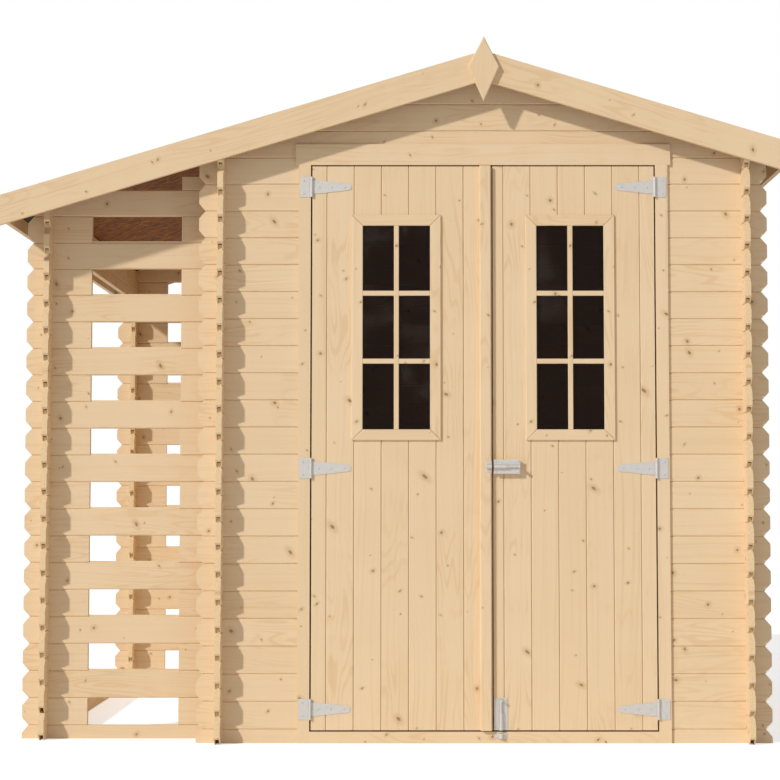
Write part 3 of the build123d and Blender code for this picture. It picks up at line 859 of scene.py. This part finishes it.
class SHED_OT_windows(bpy.types.Operator):
    """Mitred trim and bars round and across the window glass"""

    bl_idname = "shed.windows"
    bl_label = "Windows"

    def trim_board(self, name, low, high, cuts):
        """One board of the trim, mitred at both ends."""
        piece = block(name, low, high)
        for corner, normal in cuts:
            saw(piece, corner - Vector(normal).normalized() * sizes().joint_gap / 3, normal)
        ease(piece, at_front(low[1]), TRIM_EDGE)
        return piece

    def execute(self, context):
        size = sizes()
        wide = size.window_trim
        glass = window_glass("window_glass")
        for side in ("left", "right"):
            node = f"{side}_window_trim"
            low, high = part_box(node)
            front, back = low.y, high.y
            corners = {
                (h, v): Vector((low.x if h < 0 else high.x, 0, low.z if v < 0 else high.z))
                for h in (-1, 1) for v in (-1, 1)
            }
            rails = []
            for v in (-1, 1):
                level = high.z - wide if v > 0 else low.z
                rails.append(self.trim_board(
                    f"{side}_trim_rail", (low.x, front, level), (high.x, back, level + wide),
                    [(corners[(-1, v)], (-1, 0, -v)), (corners[(1, v)], (1, 0, -v))],
                ))
            posts = []
            for h in (-1, 1):
                edge = high.x - wide if h > 0 else low.x
                posts.append(self.trim_board(
                    f"{side}_trim_post", (edge, front, low.z), (edge + wide, back, high.z),
                    [(corners[(h, -1)], (-h, 0, -1)), (corners[(h, 1)], (-h, 0, 1))],
                ))
            rails = join(f"{side}_window_rails", rails)
            posts = join(f"{side}_window_posts", posts)
            across = timber(f"{side}_trim_rail_timber", ALONG_X, ALONG_Z, low.z, wide, seed=41.0)
            upright = timber(
                f"{side}_trim_post_timber", ALONG_Z, ALONG_X, low.x, wide, seed=43.0, knots=0.5,
            )
            dress(rails, f"{side}_leaf", "trim timber", across, node)
            dress(posts, f"{side}_leaf", "trim timber", upright, node)

            middle = (low.x + high.x) / 2
            bar_front = back - size.bar_depth
            inner_low = Vector((low.x + wide, bar_front, low.z + wide))
            inner_high = Vector((high.x - wide, back, high.z - wide))
            post = block(
                f"{side}_bar_post",
                (middle - size.window_bar / 2, bar_front, inner_low.z),
                (middle + size.window_bar / 2, back, inner_high.z),
            )
            ease(post, at_front(bar_front), BAR_EDGE)
            dress(post, f"{side}_leaf", "trim timber", upright)
            bars = []
            cross_front = bar_front + CROSS_BAR_SET_BACK
            third = (inner_high.z - inner_low.z) / 3
            for step in (1, 2):
                level = inner_low.z + step * third
                bar = block(
                    f"{side}_bar", (inner_low.x, cross_front, level - size.window_bar / 2),
                    (inner_high.x, back, level + size.window_bar / 2),
                )
                ease(bar, at_front(cross_front), BAR_EDGE)
                bars.append(bar)
            bars = join(f"{side}_window_bars", bars)
            dress(bars, f"{side}_leaf", "trim timber", across)
            coat(f"{side}_window_glass", glass)
        return {"FINISHED"}


class SHED_OT_ridge_strip(bpy.types.Operator):
    """Strip of felt folded over the ridge, with clout nails along its edges and the eaves"""

    bl_idname = "shed.ridge_strip"
    bl_label = "Ridge strip"

    def execute(self, context):
        size = sizes()
        felt = bpy.data.materials["roof_felt"]
        low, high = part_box("roof_felt_left")
        front, back, top = low.y, high.y, high.z
        lean = math.atan(SLOPE)
        halves = []
        nails = []
        for side in (-1, 1):
            def on_slope(away, above):
                """A place on this slope, measured from the ridge."""
                return Vector((
                    RIDGE.x + side * (away * math.cos(lean) + above * math.sin(lean)), 0,
                    top - away * math.sin(lean) + above * math.cos(lean),
                ))

            deselect()
            middle = on_slope(size.ridge_strip / 2 - RIDGE_OVERRUN, size.strip_thick / 2)
            middle.y = (front + back) / 2
            bpy.ops.mesh.primitive_cube_add(size=1, location=middle, rotation=(0, side * lean, 0))
            half = context.object
            half.scale = (
                size.ridge_strip + 2 * RIDGE_OVERRUN, back - front - 2 * size.strip_thick,
                size.strip_thick,
            )
            half = settle(half, "ridge_strip_half")
            saw(half, (RIDGE.x, 0, 0), (-side, 0, 0))
            ease(half, runs_along(ALONG_Y), size.strip_thick / 4)
            halves.append(half)
            eaves = low.x if side < 0 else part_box("roof_felt_right")[1].x
            slope_length = abs(eaves - RIDGE.x) / math.cos(lean)
            for away, above in (
                (size.ridge_strip - STRIP_NAIL_INSET, size.strip_thick),
                (slope_length - EAVES_NAIL_INSET, 0.0),
            ):
                deselect()
                spot = on_slope(away, above + size.nail_thick / 2)
                spot.y = front + END_NAIL_INSET
                bpy.ops.mesh.primitive_cylinder_add(
                    vertices=10, radius=size.nail_radius, depth=size.nail_thick,
                    location=spot, rotation=(0, side * lean, 0),
                )
                nail = settle(context.object, "clout_nail")
                ease(nail, lambda edge: edge.calc_length() < size.nail_radius, size.nail_thick / 4)
                run = back - front - 2 * END_NAIL_INSET
                count = int(run / size.nail_step) + 1
                repeat(nail, count, (0, run / (count - 1), 0))
                nails.append(nail)
        dress(join("ridge_strip", halves), "shed", "roofing felt", felt)
        iron = bpy.data.materials["galvanised_iron"]
        dress(join("clout_nails", nails), "shed", "galvanised steel", iron)
        return {"FINISHED"}


class SHED_OT_screws(bpy.types.Operator):
    """Domed screws through the hinges and bolt plates"""

    bl_idname = "shed.screws"
    bl_label = "Screws"

    def head(self, place):
        """One screw's head, domed, with a recess in its middle."""
        size = sizes()
        deselect()
        bpy.ops.mesh.primitive_cylinder_add(
            vertices=16, radius=size.screw_radius, depth=size.screw_height,
            location=place, rotation=(math.pi / 2, 0, 0),
        )
        screw = settle(bpy.context.object, "screw_head")
        front = place[1] - size.screw_height / 2
        ease(screw, at_front(front), size.screw_height * 0.6, segments=2)
        to_front = facing(ALONG_Y, -1)
        shape(screw, "FACE", to_front, bpy.ops.mesh.inset, thickness=size.screw_radius * 0.3)
        least_area = size.screw_radius ** 2 * 0.2  # only the face in the middle is larger
        shape(
            screw, "FACE", lambda face: to_front(face) and face.calc_area() > least_area,
            bpy.ops.mesh.extrude_region_move,
            TRANSFORM_OT_translate={"value": (0, size.screw_height * 0.5, 0)},
        )
        pick(screw)
        bpy.ops.object.shade_smooth_by_angle(angle=math.radians(40))
        return screw

    def execute(self, context):
        size = sizes()
        iron = bpy.data.materials["galvanised_iron"]
        for side, outward in (("left", -1), ("right", 1)):
            low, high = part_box(f"{side}_hinge_plates")
            strap_low, strap_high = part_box(f"{side}_hinge_straps")
            outer = low.x if outward < 0 else high.x
            front = high.y - SHEET_THICK - size.screw_height / 2
            line = strap_high.x if outward > 0 else strap_low.x
            tip = strap_low.x if outward > 0 else strap_high.x
            in_plate = outer - outward * PLATE_SCREW_INSET
            on_plate = []
            on_strap = []
            for level in middle_levels(f"{side}_hinge_plates"):
                for shift in (-PLATE_SCREW_SPREAD, PLATE_SCREW_SPREAD):
                    on_plate.append(self.head((in_plate, front, level + shift)))
                for share in STRAP_SCREW_SHARES:
                    on_strap.append(self.head((line + (tip - line) * share, front, level)))
            on_plate = join(f"{side}_hinge_plate_screws", on_plate)
            on_strap = join(f"{side}_hinge_strap_screws", on_strap)
            dress(on_plate, "shed", "galvanised steel", iron)
            dress(on_strap, f"{side}_leaf", "galvanised steel", iron)
        heads = []
        for node in ("pad_bolt_plate", "foot_bolt_plate"):
            low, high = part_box(node)
            front = high.y - SHEET_THICK - size.screw_height / 2
            for x in (low.x + BOLT_SCREW_INSET, high.x - BOLT_SCREW_INSET):
                for z in (low.z + BOLT_SCREW_INSET, high.z - BOLT_SCREW_INSET):
                    heads.append(self.head((x, front, z)))
        dress(join("bolt_plate_screws", heads), "right_leaf", "galvanised steel", iron)
        return {"FINISHED"}


class SHED_OT_finishes(bpy.types.Operator):
    """Materials of the roof, fascias, door frame and ironwork"""

    bl_idname = "shed.finishes"
    bl_label = "Finishes"

    def execute(self, context):
        for node, name, along, across, joint, width, seed, knots in TIMBERS:
            coat(node, timber(name, along, across, joint, width, seed=seed, knots=knots))
        coat("right_leaf_ledges", bpy.data.materials["ledge_timber"])
        lean = math.atan(SLOPE)
        for side in ("front", "rear"):
            for hand, tilt, seed in (("left", lean, 61.0), ("right", -lean, 62.0)):
                node = f"{side}_fascia_{hand}"
                heights = [
                    math.cos(tilt) * vertex.co.z - math.sin(tilt) * vertex.co.x
                    for vertex in frame["nodes"][node].data.vertices
                ]
                low, high = min(heights), max(heights)
                coat(node, timber(
                    f"{node}_timber", ALONG_X, ALONG_Z, low, high - low,
                    tilt=tilt, seed=seed, knots=0.8,
                ))
        strands = strand_board("roof_strand_board")
        felt = roofing_felt("roof_felt")
        for side in ("left", "right"):
            coat(f"roof_deck_{side}", strands)
            coat(f"roof_felt_{side}", felt)
        iron = zinc("galvanised_iron")
        for node in (
            "left_hinge_plates", "right_hinge_plates", "left_hinge_straps", "right_hinge_straps",
            "pad_bolt_plate", "pad_bolt", "pad_bolt_keeper",
            "foot_bolt_plate", "foot_bolt", "foot_bolt_keeper",
        ):
            coat(node, iron)
        return {"FINISHED"}


class SHED_OT_stage(bpy.types.Operator):
    """Pale floor, soft light and the camera"""

    bl_idname = "shed.stage"
    bl_label = "Stage"

    def lay_floor(self):
        """A floor that lights itself for the camera and in glass, but not inside the shed."""
        deselect()
        bpy.ops.mesh.primitive_plane_add(size=60, location=(0, 0, 0))
        floor = settle(bpy.context.object, "floor")
        recipe = Recipe("studio_floor")
        recipe.feed(recipe.shader.inputs["Specular IOR Level"], 0.1)
        recipe.feed(recipe.shader.inputs["Emission Color"], WHITE)
        spot = recipe.split(recipe.place)
        inside = 1.0
        for axis, sign, edge in (
            (ALONG_X, 1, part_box("left_wall")[0].x),
            (ALONG_X, -1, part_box("right_wall")[1].x),
            (ALONG_Y, 1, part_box("left_leaf_boards")[0].y),
            (ALONG_Y, -1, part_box("rear_wall")[1].y),
        ):
            past = recipe.calc("GREATER_THAN", recipe.times(spot[axis], sign), sign * edge)
            inside = recipe.times(inside, past)
        shown = recipe.times(seen_rays(recipe.tree), recipe.minus(1.0, inside))
        recipe.feed(recipe.shader.inputs["Emission Strength"], recipe.times(shown, FLOOR_GLOW))
        floor.data.materials.append(recipe.finish((*colours().floor, 1.0), 0.9))

    def hang_lights(self, scene):
        """A sun, and a soft sky that shows as white."""
        sun = bpy.data.lights.new("key_light", "SUN")
        sun.energy = SUN_POWER
        sun.angle = math.radians(SUN_WIDTH)
        sun.color = SUN_COLOUR
        lamp = bpy.data.objects.new("key_light", sun)
        scene.collection.objects.link(lamp)
        lamp.rotation_euler = Vector(SUN_HEADING).to_track_quat("-Z", "Y").to_euler()

        world = bpy.data.worlds.new("studio")
        world.use_nodes = True
        scene.world = world
        tree = world.node_tree
        background = tree.nodes["Background"]
        background.inputs["Color"].default_value = WHITE
        level = tree.nodes.new("ShaderNodeMapRange")
        level.inputs["To Min"].default_value = SKY_POWER
        level.inputs["To Max"].default_value = 1.0
        tree.links.new(seen_rays(tree), level.inputs["Value"])
        tree.links.new(level.outputs[0], background.inputs["Strength"])

    def set_camera(self, scene):
        """A camera with the photo's view of the shed."""
        view = bpy.data.cameras.new("camera")
        view.sensor_width = 36
        view.lens = CAMERA_LENS
        view.shift_x = CAMERA_SHIFT
        view.clip_end = 100
        camera = bpy.data.objects.new("camera", view)
        scene.collection.objects.link(camera)
        camera.location = CAMERA_PLACE
        camera.rotation_euler = (math.radians(90 + CAMERA_TILT), 0, 0)
        scene.camera = camera
        scene.view_settings.view_transform = "Standard"

    def execute(self, context):
        self.lay_floor()
        self.hang_lights(context.scene)
        self.set_camera(context.scene)
        return {"FINISHED"}


class SHED_PT_panel(bpy.types.Panel):
    """Lists the shed's steps"""

    bl_label = "Garden shed"
    bl_idname = "SHED_PT_panel"
    bl_space_type = "VIEW_3D"
    bl_region_type = "UI"
    bl_category = "Shed"

    def draw(self, context):
        for step in STEPS:
            self.layout.operator(step.bl_idname)
        for group in (context.scene.shed_sizes, context.scene.shed_colours):
            for key in group.bl_rna.properties.keys():
                if key not in ("rna_type", "name"):
                    self.layout.prop(group, key)


STEPS = [
    SHED_OT_shed_walls,
    SHED_OT_store_walls,
    SHED_OT_door_boards,
    SHED_OT_windows,
    SHED_OT_finishes,
    SHED_OT_ridge_strip,
    SHED_OT_screws,
    SHED_OT_stage,
]
GROUPS = [ShedSizes, ShedColours]


def register():
    for group in GROUPS:
        bpy.utils.register_class(group)
    bpy.types.Scene.shed_sizes = bpy.props.PointerProperty(type=ShedSizes)
    bpy.types.Scene.shed_colours = bpy.props.PointerProperty(type=ShedColours)
    for step in STEPS:
        bpy.utils.register_class(step)
    bpy.utils.register_class(SHED_PT_panel)


def unregister():
    bpy.utils.unregister_class(SHED_PT_panel)
    for step in reversed(STEPS):
        bpy.utils.unregister_class(step)
    del bpy.types.Scene.shed_colours
    del bpy.types.Scene.shed_sizes
    for group in reversed(GROUPS):
        bpy.utils.unregister_class(group)


def main():
    """Builds every piece in order."""
    register()
    for step in STEPS:
        group, name = step.bl_idname.split(".")
        getattr(getattr(bpy.ops, group), name)()


if __name__ == "__main__":
    main()
